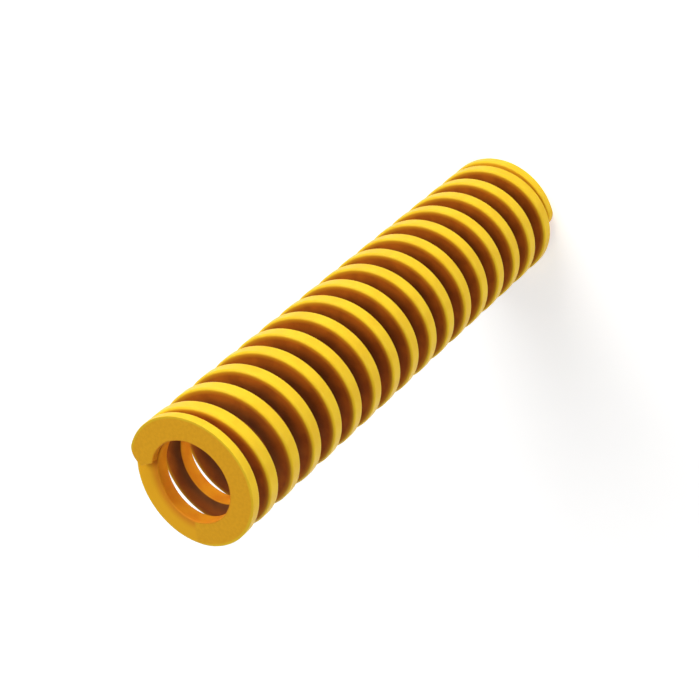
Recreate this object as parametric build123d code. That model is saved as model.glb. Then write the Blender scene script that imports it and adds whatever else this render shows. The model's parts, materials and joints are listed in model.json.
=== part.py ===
from build123d import *
import os

# A light-load die spring. One length of flattened steel wire is coiled right-handed, closed at
# both ends and ground flat there. It stands on one ground end: the origin is the centre of that
# end, and +Z runs up the axis. The two ends are alike, half a turn apart. Millimetres.

# Driving dimensions
free_length = 45.0
outer_diameter = 10.0
bore_diameter = 6.3
total_turns = 17.5        # from one wire tip to the other
wire_height = 1.07        # the wire's size along the axis
edge_chamfer = 0.15       # on the wire's two outer edges
closed_turns = 0.7        # at each end, wound almost flat
closed_rise = 0.295       # climbed by the wire over those turns
blend_turns = 0.3         # over which the wire turns up into the working pitch
tip_centre_height = 0.095  # the wire's centre above the ground face, at its tip
tip_skew = 27.0           # degrees from a square cut to the tip's sheared side, next to the bore
tip_bevel = 32.0          # degrees from a square cut to its bevelled side, next to the outside
tip_rounding = 1.3        # where the bevelled side runs out into the outside

# Worked out from them
outer_radius = outer_diameter / 2
bore_radius = bore_diameter / 2
coil_radius = (outer_radius + bore_radius) / 2
wire_width = outer_radius - bore_radius
middle_turn = total_turns / 2
closed_height = tip_centre_height + closed_rise
closed_pitch = closed_rise / closed_turns
pitch = (free_length - 2 * closed_height) / (total_turns - 2 * closed_turns)

# Construction: the wire is made in short lengths that meet end to end
wall_allowance = 0.05     # left on the wire's sides, then cut off true by the tube
tip_allowance = 0.04      # turns left beyond the tip, then cut off
end_length = 1 / 16       # turns, in the first turn, where the pitch changes
plain_length = 1 / 4      # turns, in the rest
seam_angle = 225          # degrees: the plain ring's seam, on the side that no length reaches


def wire_centre(turn):
    """Height of the wire's centre, in the lower half, a number of turns from the tip."""
    blend_start = closed_turns - blend_turns / 2
    along_blend = min(max(turn - blend_start, 0), blend_turns)
    past_blend = max(turn - blend_start - blend_turns, 0)
    opening = (pitch - closed_pitch) * (along_blend**2 / (2 * blend_turns) + past_blend)
    return tip_centre_height + closed_pitch * turn + opening


def wire_section():
    """The wire's section on the XZ plane, a little too wide for the tube on both sides."""
    inner = -wire_width / 2 - wall_allowance
    outer = wire_width / 2 + wall_allowance
    flank = wire_height / 2
    chamfer = edge_chamfer + wall_allowance
    outline = Polyline(
        (inner, -flank),
        (outer - chamfer, -flank),
        (outer, chamfer - flank),
        (outer, flank - chamfer),
        (outer - chamfer, flank),
        (inner, flank),
        close=True,
    )
    return Plane.XZ * Pos(coil_radius, 0) * make_face(outline)


def tube_plan():
    """The ring between the spring's outer and bore diameters."""
    return Circle(outer_radius) - Circle(bore_radius)


def tip_plan():
    """The ring, cut to the wire's pointed tip, whose nose is in the middle of the wire's width."""
    half_plane = Rectangle(4 * outer_diameter, 2 * outer_diameter, align=(Align.CENTER, Align.MIN))
    nose = Pos(coil_radius, 0)
    plan = tube_plan() & nose * Rot(Z=-tip_skew) * half_plane & nose * Rot(Z=tip_bevel) * half_plane
    outer_corner = plan.vertices().sort_by_distance((outer_radius, 0))[0]
    return fillet(outer_corner, tip_rounding)


def coil_length(start, end, plan):
    """The wire from one turn to another, cut to the plan so that both its walls are true cylinders."""
    rise = wire_centre(end) - wire_centre(start)
    spine = Edge.make_helix(rise / (end - start), rise, coil_radius)
    wire = sweep(wire_section(), path=spine, is_frenet=True)
    tube = extrude(plan, amount=2 * pitch, both=True)
    return Pos(Z=wire_centre(start)) * Rot(Z=360 * start) * (wire & tube)


def half_coil():
    """The wire's lengths from the lower tip, at -Y, to the middle of the spring."""
    lengths = [coil_length(-tip_allowance, end_length, Rot(Z=360 * tip_allowance) * tip_plan())]
    plain_plan = Rot(Z=seam_angle) * tube_plan()
    start = end_length
    while start < middle_turn:
        end = start + (end_length if start < 1 else plain_length)
        lengths.append(coil_length(start, end, plain_plan))
        start = end
    return [Rot(Z=-90) * length for length in lengths]


def die_spring():
    """Both halves of the coil as one solid, ground flat to the free length."""
    lower = half_coil()
    upper = [Pos(Z=free_length) * Rot(X=180) * length for length in lower]
    first, *others = [length.solid() for length in lower + upper]
    coil = first.fuse(*others)
    blank_width = 2 * outer_diameter
    on_floor = (Align.CENTER, Align.CENTER, Align.MIN)
    return coil & Box(blank_width, blank_width, free_length, align=on_floor)


os.makedirs("parts", exist_ok=True)
export_step(die_spring(), "parts/die_spring.step")
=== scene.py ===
"""A yellow light-load die spring standing on one ground end, in soft studio light. Metres, +Z up."""

import json
import math

import bpy
import numpy as np
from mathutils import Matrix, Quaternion, Vector


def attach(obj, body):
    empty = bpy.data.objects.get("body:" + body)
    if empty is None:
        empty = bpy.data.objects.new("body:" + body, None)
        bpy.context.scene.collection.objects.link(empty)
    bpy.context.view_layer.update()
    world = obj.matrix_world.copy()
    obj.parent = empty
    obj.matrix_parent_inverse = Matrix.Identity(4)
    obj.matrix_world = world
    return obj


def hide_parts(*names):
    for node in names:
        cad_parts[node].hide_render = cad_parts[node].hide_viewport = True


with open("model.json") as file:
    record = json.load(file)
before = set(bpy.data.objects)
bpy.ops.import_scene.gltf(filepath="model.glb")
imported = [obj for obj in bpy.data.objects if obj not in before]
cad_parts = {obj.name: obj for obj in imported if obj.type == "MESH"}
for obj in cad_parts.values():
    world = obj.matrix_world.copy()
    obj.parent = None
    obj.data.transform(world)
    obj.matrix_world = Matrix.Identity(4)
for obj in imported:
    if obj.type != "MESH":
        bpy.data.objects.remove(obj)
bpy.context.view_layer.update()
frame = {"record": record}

MM = 0.001

# The wire's path, with the same values as the solid has
TOTAL_TURNS = 17.5
WIRE_HEIGHT = 1.07 * MM
CLOSED_TURNS = 0.7
CLOSED_RISE = 0.295 * MM
BLEND_TURNS = 0.3
TIP_CENTRE_HEIGHT = 0.095 * MM
TIP_SKEW = math.radians(27)
TIP_BEVEL = math.radians(32)
TIP_ROUNDING = 1.3 * MM

# What the solid leaves plain: the wire's rounded edges and the softened edges of its cut tips
OUTER_EDGE_RADIUS = 0.19 * MM
INNER_EDGE_RADIUS = 0.10 * MM
LEAST_EDGE_RADIUS = 0.045 * MM
TIP_EDGE_RADIUS = 0.04 * MM

# The mesh: columns across the wire, stations along it
EDGE_STEPS = 4
INNER_FLANK_STEPS = 4
OUTER_FLANK_STEPS = 7
STATIONS_PER_TURN = 96
TIP_STATIONS = 10
TIP_EDGE_STEPS = 3
TIP_TURNS = 1 / 16            # over which the sheared tip straightens out

# The map that the coating is baked through: the wire unrolled in rows
MAP_ROWS = 9
MAP_GAP = 0.1 * MM

MOUNTS = {m["name"]: m for m in frame["record"]["mounts"]}
OUTER_RADIUS = MOUNTS["outside"]["dims"]["r_mm"] * MM
BORE_RADIUS = MOUNTS["bore"]["dims"]["r_mm"] * MM
FREE_LENGTH = MOUNTS["upper_end"]["pos_m"][2]
COIL_RADIUS = (OUTER_RADIUS + BORE_RADIUS) / 2
CLOSED_PITCH = CLOSED_RISE / CLOSED_TURNS
PITCH = (FREE_LENGTH - 2 * (TIP_CENTRE_HEIGHT + CLOSED_RISE)) / (TOTAL_TURNS - 2 * CLOSED_TURNS)

# Where each colour of the coating begins and where it is full, by distance from the spring's axis. The
# yellow is the enamel's own; the others are painted shade between the coils and in the bore.
YELLOW_REACH = OUTER_RADIUS - 0.26 * MM, OUTER_RADIUS - 0.09 * MM
LIGHTER_SHADE_REACH = OUTER_RADIUS - 0.52 * MM, OUTER_RADIUS - 0.14 * MM
DEEP_SHADE_REACH = OUTER_RADIUS - 0.50 * MM, BORE_RADIUS + 0.30 * MM
BORE_SHADE_REACH = BORE_RADIUS + 0.12 * MM, BORE_RADIUS + 0.02 * MM

# The same for the end turns and for their ground faces, by distance from the spring's middle height. The
# end turns' part that is not ground carries painted light and shade.
END_REACH = FREE_LENGTH / 2 - 0.95 * MM, FREE_LENGTH / 2 - 0.70 * MM
GROUND_REACH = FREE_LENGTH / 2 - 0.03 * MM, FREE_LENGTH / 2 - 0.01 * MM

# The coating's mottling, in waves a metre and in levels of detail
CLOUD_SCALE, CLOUD_DETAIL = 700.0, 4.0
SPECKLE_SCALE, SPECKLE_DETAIL = 4000.0, 3.0
PEEL_SCALE, PEEL_DETAIL = 2600.0, 2.0
PEEL_STRENGTH, PEEL_DEPTH = 0.4, 0.01 * MM
MOTTLE_REACH = 0.35, 0.65     # the part of a noise's range that is spread out to the whole

DULL, GLOSSY = 0.65, 0.35     # the coating's roughness between the coils and outside them

# The studio, where a level is how bright the light makes a white surface that faces it
AMBIENT = 0.22                # the level of the light from all round
HALF_FLOOR = 3.0
FLOOR_SHADE = 0.8
LIT_FLOOR = 0.54              # the level round the object, from which up the floor shows as white
LIT_REACH = 0.05, 0.4         # over which the floor's light falls from that to the ambient alone
LAMP_DISTANCE = 0.5
LAMPS = {                     # each one's direction from the spring's middle, its size and its level
    "key": ((0.9, 0.4, 0.04), 0.3, 0.9),
    "top": ((0.6, 0.3, 0.9), 0.3, 0.42),
    "side": ((0.25, -1.0, 0.0), 0.15, 0.62),
    "back": ((-1.0, 0.3, 0.0), 0.4, 0.48),
}

# The photograph's view, in which the spring lies across the picture
CAMERA_PLACE = (76.361 * MM, -67.558 * MM, 134.442 * MM)
CAMERA_AIM = (-1.742 * MM, 1.103 * MM, 22.5 * MM)
CAMERA_ROLL = math.radians(-131.031)
CAMERA_LENS, CAMERA_SENSOR = 103.976, 36.0
CAMERA_CLIP = 0.005, 20.0


# ---------------------------------------------------------------- the wire's shape

def unit(vectors):
    """The vectors' directions."""
    return vectors / np.linalg.norm(vectors, axis=-1, keepdims=True)


def wire_centre(turn):
    """Height of the wire's centre, in the lower half, a number of turns from the tip."""
    blend_start = CLOSED_TURNS - BLEND_TURNS / 2
    along_blend = np.clip(turn - blend_start, 0, BLEND_TURNS)
    past_blend = np.maximum(turn - blend_start - BLEND_TURNS, 0)
    opening = (PITCH - CLOSED_PITCH) * (along_blend**2 / (2 * BLEND_TURNS) + past_blend)
    return TIP_CENTRE_HEIGHT + CLOSED_PITCH * turn + opening


def wire_slope(turn):
    """How fast the wire climbs there, in metres a radian."""
    share = np.clip((turn - CLOSED_TURNS) / BLEND_TURNS + 0.5, 0, 1)
    return (CLOSED_PITCH + (PITCH - CLOSED_PITCH) * share) / (2 * math.pi)


def edge_reach(radius, ground):
    """How far a rounded edge reaches in from the wall and the flank, once the flank is ground down."""
    left = np.clip(radius - ground, 0, radius)
    across = radius - np.sqrt(radius**2 - left**2)
    return np.maximum(across, LEAST_EDGE_RADIUS), np.maximum(left, LEAST_EDGE_RADIUS)


def flank_columns(ground):
    """One flank, from the bore out: each column's radius, height above the flank and normal."""
    inner_across, inner_up = edge_reach(INNER_EDGE_RADIUS, ground)
    outer_across, outer_up = edge_reach(OUTER_EDGE_RADIUS, ground)
    radii, heights, outward, upward = [], [], [], []

    def add(radius, height, normal_out, normal_up):
        radii.append(radius + 0 * ground)
        heights.append(height + 0 * ground)
        outward.append(normal_out + 0 * ground)
        upward.append(normal_up + 0 * ground)

    def add_edge(middle, across, up, start):
        for step in range(EDGE_STEPS + 1):
            angle = start + math.pi / 2 * step / EDGE_STEPS
            out, rise = math.cos(angle), math.sin(angle)
            size = np.hypot(out / across, rise / up)
            add(middle + across * out, up * (1 + rise), out / across / size, rise / up / size)

    flank_start, flank_end = BORE_RADIUS + inner_across, OUTER_RADIUS - outer_across
    add_edge(flank_start, inner_across, inner_up, math.pi)
    for step in range(1, INNER_FLANK_STEPS + 1):
        add(flank_start + (COIL_RADIUS - flank_start) * step / INNER_FLANK_STEPS, 0, 0, -1)
    for step in range(1, OUTER_FLANK_STEPS):
        share = math.sin(math.pi / 2 * step / OUTER_FLANK_STEPS)  # closer together towards the outside
        add(COIL_RADIUS + (flank_end - COIL_RADIUS) * share, 0, 0, -1)
    add_edge(flank_end, outer_across, outer_up, 1.5 * math.pi)
    return [np.stack(a, -1) for a in (radii, heights, outward, upward)]


def tip_cut(skew):
    """Directions along one straight side of the tip and into the wire, with the nose on the x axis."""
    along = np.array([math.cos(skew), -math.sin(skew)])
    inward = np.array([math.sin(skew), math.cos(skew)])
    return along, inward


def cut_angles(skew, radii):
    """Angle at which a straight side of the tip crosses each radius."""
    return math.pi / 2 - skew - np.arccos(math.sin(skew) * COIL_RADIUS / radii)


def tip_angles(radii):
    """Angle at which the wire ends, at each radius, and the way that the end faces there, in plan."""
    _, sheared_in = tip_cut(TIP_SKEW)
    along_bevel, bevelled_in = tip_cut(-TIP_BEVEL)
    beside = np.array([COIL_RADIUS, 0]) + TIP_ROUNDING * bevelled_in
    back = beside @ along_bevel
    reach = math.sqrt(back**2 - beside @ beside + (OUTER_RADIUS - TIP_ROUNDING) ** 2) - back
    centre = beside + reach * along_bevel
    centre_radius, centre_angle = math.hypot(*centre), math.atan2(centre[1], centre[0])
    rounded = radii > math.hypot(*(centre - TIP_ROUNDING * bevelled_in))
    bevelled = (radii > COIL_RADIUS) & ~rounded
    cosine = (radii**2 + centre_radius**2 - TIP_ROUNDING**2) / (2 * radii * centre_radius)
    on_arc = centre_angle - np.arccos(np.clip(cosine, -1, 1))
    angles = np.where(bevelled, cut_angles(-TIP_BEVEL, radii), cut_angles(TIP_SKEW, radii))
    angles = np.where(rounded, on_arc, angles)
    places = np.stack([radii * np.cos(angles), radii * np.sin(angles)], -1)
    away = np.where(bevelled[..., None], -bevelled_in, -sheared_in)
    away = np.where(rounded[..., None], (places - centre) / TIP_ROUNDING, away)
    return angles, away


def placed(radii, angles, heights, normal_out, normal_up, slope):
    """Points and normals in space from the section's own, where the wire starts at -Y."""
    turned = angles - math.pi / 2
    cos, sin = np.cos(turned), np.sin(turned)
    points = np.stack([radii * cos, radii * sin, heights], -1)
    normals = np.stack([normal_out * cos, normal_out * sin, normal_up], -1)
    along = unit(np.stack([-radii * sin, radii * cos, slope + 0 * radii], -1))
    normals -= (normals * along).sum(-1, keepdims=True) * along
    return points, unit(normals)


def half_coil():
    """Points and normals of the lower half, as [station, lower or upper flank, column], tip first."""
    plain_steps = round((TOTAL_TURNS / 2 - TIP_TURNS) * STATIONS_PER_TURN)
    plain = np.linspace(TIP_TURNS, TOTAL_TURNS / 2, plain_steps + 1)
    near_tip = TIP_TURNS * np.arange(1, TIP_STATIONS) / TIP_STATIONS
    stations = np.concatenate([near_tip, plain])
    centres = wire_centre(stations)
    ground = np.maximum(WIRE_HEIGHT / 2 - centres, 0)
    sides = []
    for flank, cut in ((-1, ground), (1, 0 * ground)):
        radii, heights, out, up = flank_columns(cut)
        ends, _ = tip_angles(radii)
        share = np.minimum(stations / TIP_TURNS, 1)[:, None]
        angles = np.where(
            stations[:, None] < TIP_TURNS,
            ends + share * (2 * math.pi * TIP_TURNS - ends),
            2 * math.pi * stations[:, None],
        )
        turns = angles / (2 * math.pi)
        edges = wire_centre(turns) + flank * WIRE_HEIGHT / 2
        is_ground = edges < 0
        edges = np.maximum(edges, 0)
        slope = np.where(is_ground & (flank < 0), 0, wire_slope(turns))
        sides.append(placed(radii, angles, edges - flank * heights, out, -flank * up, slope))
    return [np.stack(values, 1) for values in zip(*sides)]


def tip_rings():
    """The rings that round the tip's cut edges, from the middle of the cut outwards."""
    ground = np.array([WIRE_HEIGHT / 2 - wire_centre(0)])
    rings = []
    for step in range(TIP_EDGE_STEPS + 1):
        lean = math.pi / 2 * step / TIP_EDGE_STEPS
        inset = TIP_EDGE_RADIUS * (1 - math.sin(lean))
        forward = TIP_EDGE_RADIUS * (1 - math.cos(lean))
        sides = []
        for flank, cut in ((-1, ground), (1, 0 * ground)):
            radii, heights, out, up = flank_columns(cut)
            radii, heights = radii - out * inset, heights - up * inset
            ends, away = tip_angles(radii)
            angles = ends + forward / radii
            edges = np.maximum(wire_centre(angles / (2 * math.pi)) + flank * WIRE_HEIGHT / 2, 0)
            points, normals = placed(radii, angles, edges - flank * heights, out, -flank * up, 0)
            facing = np.stack([away[..., 1], -away[..., 0], 0 * radii], -1)
            sides.append((points, unit(math.sin(lean) * normals + math.cos(lean) * facing)))
        rings.append([np.stack(values, 1) for values in zip(*sides)])
    return [np.concatenate(values) for values in zip(*rings)]


def whole_coil():
    """The same of the whole wire, whose upper half is the lower one turned over."""
    points, normals = (np.concatenate(values) for values in zip(tip_rings(), half_coil()))
    turned_over = np.array([1, -1, -1])
    above = points[-2::-1, ::-1] * turned_over + np.array([0, 0, FREE_LENGTH])
    normals_above = normals[-2::-1, ::-1] * turned_over
    return np.concatenate([points, above]), np.concatenate([normals, normals_above])


def bake_map(rings, caps):
    """Each face corner's place on the map: the unrolled wire in rows, and its cut ends above them."""
    spans = len(rings) - 1
    spans_per_row = math.ceil(spans / MAP_ROWS)
    along = np.append(0, np.linalg.norm(np.diff(rings.mean(1), axis=0), axis=1).cumsum())
    section = rings[spans // 2]
    around = np.append(0, np.linalg.norm(np.roll(section, -1, 0) - section, axis=1).cumsum())
    row = np.arange(spans) // spans_per_row
    row_height = around[-1] + MAP_GAP
    row_start = along[row * spans_per_row]
    left, right = along[:-1] - row_start, along[1:] - row_start
    across = np.stack([left, right, right, left], -1)[:, None]
    below, above = around[:-1], around[1:]
    up = row[:, None, None] * row_height + np.stack([below, below, above, above], -1)
    places = [np.stack(np.broadcast_arrays(across, up), -1).reshape(-1, 2)]
    for number, cap in enumerate(caps):
        x, y, z = np.moveaxis(rings.reshape(-1, 3)[cap], -1, 0)
        across = np.hypot(x, y) - BORE_RADIUS + number * OUTER_RADIUS
        places.append(np.stack([across, z - z.min() + MAP_ROWS * row_height], -1).reshape(-1, 2))
    places = np.concatenate(places)
    return places / places.max()


def in_rings(values):
    """[station, corner] from [station, flank, column]: out on the lower flank, back on the upper."""
    return np.concatenate([values[:, 0], values[:, 1, ::-1]], 1)


def coil_mesh(name):
    """The wire as one closed mesh of rings, with its own normals and bake map."""
    points, normals = map(in_rings, whole_coil())
    stations, ring = points.shape[:2]
    columns = ring // 2
    index = np.arange(stations * ring).reshape(stations, ring)
    beside, ahead = np.roll(index, -1, 1), index[1:]
    quads = np.stack([index[:-1], ahead, beside[1:], beside[:-1]], -1).reshape(-1, 4)
    caps = []
    for station, flip in ((0, False), (stations - 1, True)):
        lower, upper = index[station, :columns], index[station, :columns - 1:-1]
        cap = np.stack([lower[:-1], lower[1:], upper[1:], upper[:-1]], -1)
        caps.append(cap[:, ::-1] if flip else cap)
    faces = np.concatenate([quads, *caps])
    mesh = bpy.data.meshes.new(name)
    mesh.from_pydata(points.reshape(-1, 3).tolist(), [], faces.tolist())
    mesh.uv_layers.new(name="OFBake").uv.foreach_set("vector", bake_map(points, caps).ravel())
    mesh.shade_smooth()
    mesh.normals_split_custom_set_from_vertices(normals.reshape(-1, 3).tolist())
    return mesh


coil = bpy.data.objects.new("coil", coil_mesh("coil"))
bpy.context.scene.collection.objects.link(coil)


# ---------------------------------------------------------------- its coating

def node(tree, kind, inputs=None, **settings):
    """A shader node; inputs are values or other nodes' outputs."""
    made = tree.nodes.new(kind)
    for key, value in settings.items():
        setattr(made, key, value)
    for key, value in (inputs or {}).items():
        if isinstance(value, bpy.types.NodeSocket):
            tree.links.new(value, made.inputs[key])
        else:
            made.inputs[key].default_value = value
    return made


def material(name):
    """A new empty material and its node tree."""
    made = bpy.data.materials.new(name)
    made.use_nodes = True
    made.node_tree.nodes.clear()
    return made, made.node_tree


def mixed(tree, factor, first, second):
    """A colour between two, each a colour or another node's output."""
    first, second = (c if isinstance(c, bpy.types.NodeSocket) else (*c, 1) for c in (first, second))
    made = node(tree, "ShaderNodeMix", {"Factor": factor, "A": first, "B": second}, data_type="RGBA")
    return made.outputs["Result"]


def ramped(tree, value, reach):
    """0 before the start of the reach and 1 past its end, eased between; the start may be the larger."""
    made = node(
        tree, "ShaderNodeMapRange", {"Value": value, "From Min": reach[0], "From Max": reach[1]},
        interpolation_type="SMOOTHSTEP",
    )
    return made.outputs["Result"]


def maths(tree, operation, first, second=0.0):
    """The result of one operation on one or two numbers, each a value or another node's output."""
    return node(tree, "ShaderNodeMath", {0: first, 1: second}, operation=operation).outputs["Value"]


def noise(tree, place, scale, detail):
    """Cloudy noise, from 0 to 1."""
    made = node(tree, "ShaderNodeTexNoise", {"Vector": place, "Scale": scale, "Detail": detail})
    return made.outputs["Fac"]


def coating():
    """Yellow enamel outside the coils and on the ground faces, with painted shade between the coils and
    in the bore, and painted light and shade on the end turns that are not ground.
    """
    made, tree = material("yellow_enamel_and_painted_shade")
    place = node(tree, "ShaderNodeTexCoord").outputs["Object"]
    parts = node(tree, "ShaderNodeSeparateXYZ", {0: place}).outputs
    squares = (maths(tree, "MULTIPLY", part, part) for part in (parts["X"], parts["Y"]))
    radius = maths(tree, "SQRT", maths(tree, "ADD", *squares))
    from_middle = maths(tree, "ABSOLUTE", maths(tree, "SUBTRACT", parts["Z"], FREE_LENGTH / 2))
    outside = ramped(tree, radius, YELLOW_REACH)
    # Painted shade between the coils: lighter near the outer edge, darker deeper in.
    lighter_shade_share = ramped(tree, radius, LIGHTER_SHADE_REACH)
    deep_shade_share = ramped(tree, radius, DEEP_SHADE_REACH)
    # Painted shade on the bore wall.
    bore = ramped(tree, radius, BORE_SHADE_REACH)
    # Where the end turns that are not ground go from painted shade at the bore to painted light outward.
    outward = ramped(tree, radius, (BORE_RADIUS, COIL_RADIUS))
    end = ramped(tree, from_middle, END_REACH)
    face = ramped(tree, from_middle, GROUND_REACH)
    cloud = ramped(tree, noise(tree, place, CLOUD_SCALE, CLOUD_DETAIL), MOTTLE_REACH)
    speckle = ramped(tree, noise(tree, place, SPECKLE_SCALE, SPECKLE_DETAIL), MOTTLE_REACH)
    yellow = mixed(tree, cloud, (0.93, 0.58, 0.022), (0.97, 0.64, 0.027))
    # Painted shade between the coils, not the enamel's own colour: lighter near the outer edge, darkest
    # toward the bore.
    lighter_shade_colour = (0.80, 0.33, 0.012)
    flank_shade_colour = mixed(tree, cloud, (0.42, 0.101, 0.006), (0.55, 0.139, 0.008))
    deep_shade_colour = mixed(tree, cloud, (0.16, 0.045, 0.007), (0.23, 0.068, 0.009))
    # Painted shade in the bore: a darker, redder tone than the enamel's yellow.
    bore_shade_colour = mixed(tree, cloud, (0.80, 0.27, 0.012), (0.88, 0.36, 0.014))
    ground = mixed(tree, speckle, (0.92, 0.44, 0.016), (0.97, 0.48, 0.019))
    # Painted light and shade on the end turns that are not ground: brighter than the ground face
    # outward, darker toward the bore in the tip's shade.
    unground_light_and_shade = mixed(tree, outward, (0.84, 0.28, 0.012), (1.0, 0.50, 0.018))
    colour = mixed(tree, lighter_shade_share, mixed(tree, deep_shade_share, flank_shade_colour, deep_shade_colour), lighter_shade_colour)
    colour = mixed(tree, end, colour, mixed(tree, face, unground_light_and_shade, ground))
    colour = mixed(tree, bore, colour, bore_shade_colour)
    colour = mixed(tree, outside, colour, yellow)
    dull = maths(tree, "SUBTRACT", DULL, maths(tree, "MULTIPLY", outside, DULL - GLOSSY))
    peel = noise(tree, place, PEEL_SCALE, PEEL_DETAIL)
    bump = node(
        tree, "ShaderNodeBump", {"Height": peel, "Strength": PEEL_STRENGTH, "Distance": PEEL_DEPTH},
    )
    shader = node(
        tree, "ShaderNodeBsdfPrincipled",
        {
            "Base Color": colour, "Roughness": dull, "Normal": bump.outputs["Normal"],
            "Specular IOR Level": 0.08, "Coat Weight": 0.03, "Coat Roughness": 0.2,
        },
    )
    node(tree, "ShaderNodeOutputMaterial", {"Surface": shader.outputs["BSDF"]})
    return made


coil.data.materials.append(coating())
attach(coil, "root")
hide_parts("die_spring")


# ---------------------------------------------------------------- floor, light and camera

def seen_directly(tree):
    """1 for rays from the camera, off gloss and through glass, 0 for the light that falls on things."""
    rays = node(tree, "ShaderNodeLightPath").outputs
    camera_or_gloss = maths(tree, "MAXIMUM", rays["Is Camera Ray"], rays["Is Glossy Ray"])
    return maths(tree, "MAXIMUM", camera_or_gloss, rays["Is Transmission Ray"])


def grey(level):
    """A colour with the same level in all three channels."""
    return level, level, level


def pale_floor():
    """A matt pale floor, lifted by what its light leaves short of white where nothing shades it."""
    made, tree = material("pale_floor")
    matt = node(tree, "ShaderNodeBsdfDiffuse", {"Color": (*grey(FLOOR_SHADE), 1)})
    place = node(tree, "ShaderNodeTexCoord").outputs["Object"]
    distance = node(tree, "ShaderNodeVectorMath", {0: place}, operation="LENGTH").outputs["Value"]
    short = node(
        tree, "ShaderNodeMapRange",
        {
            "Value": distance, "From Min": LIT_REACH[0], "From Max": LIT_REACH[1],
            "To Min": 1 - FLOOR_SHADE * LIT_FLOOR, "To Max": 1 - FLOOR_SHADE * AMBIENT,
        },
    )
    lift = maths(tree, "MULTIPLY", seen_directly(tree), short.outputs["Result"])
    glow = node(tree, "ShaderNodeEmission", {"Strength": lift})
    both = node(tree, "ShaderNodeAddShader", {0: matt.outputs[0], 1: glow.outputs[0]})
    node(tree, "ShaderNodeOutputMaterial", {"Surface": both.outputs[0]})
    return made


def add_floor():
    """A wide square floor that the spring stands on."""
    mesh = bpy.data.meshes.new("floor")
    corners = [(x * HALF_FLOOR, y * HALF_FLOOR, 0) for x, y in ((-1, -1), (1, -1), (1, 1), (-1, 1))]
    mesh.from_pydata(corners, [], [(0, 1, 2, 3)])
    mesh.materials.append(pale_floor())
    floor = bpy.data.objects.new("floor", mesh)
    bpy.context.scene.collection.objects.link(floor)


def add_world():
    """White surroundings that light the object much less than they show."""
    world = bpy.data.worlds.new("studio")
    world.use_nodes = True
    tree = world.node_tree
    tree.nodes.clear()
    colour = mixed(tree, seen_directly(tree), grey(AMBIENT), grey(1))
    sky = node(tree, "ShaderNodeBackground", {"Color": colour})
    node(tree, "ShaderNodeOutputWorld", {"Surface": sky.outputs["Background"]})
    bpy.context.scene.world = world


def add_lamp(name, direction, size, level):
    """A square soft lamp; level is how bright it alone makes a white surface that faces it."""
    lamp = bpy.data.lights.new(name, "AREA")
    lamp.size = size
    lamp.energy = level * math.pi**2 * LAMP_DISTANCE**2
    light = bpy.data.objects.new(name, lamp)
    toward = Vector(direction).normalized()
    light.location = Vector((0, 0, FREE_LENGTH / 2)) + toward * LAMP_DISTANCE
    light.rotation_mode = "QUATERNION"
    light.rotation_quaternion = toward.to_track_quat("Z", "Y")
    light.visible_camera = False
    bpy.context.scene.collection.objects.link(light)


def add_camera():
    """The photograph's camera."""
    lens = bpy.data.cameras.new("camera")
    lens.sensor_width = CAMERA_SENSOR
    lens.lens = CAMERA_LENS
    lens.clip_start, lens.clip_end = CAMERA_CLIP
    camera = bpy.data.objects.new("camera", lens)
    camera.location = CAMERA_PLACE
    camera.rotation_mode = "QUATERNION"
    looking = (Vector(CAMERA_AIM) - Vector(CAMERA_PLACE)).to_track_quat("-Z", "Y")
    camera.rotation_quaternion = looking @ Quaternion((0, 0, 1), CAMERA_ROLL)
    bpy.context.scene.collection.objects.link(camera)
    bpy.context.scene.camera = camera


add_floor()
add_world()
for lamp_name, lamp_setting in LAMPS.items():
    add_lamp(lamp_name, *lamp_setting)
add_camera()
bpy.context.scene.view_settings.view_transform = "Standard"
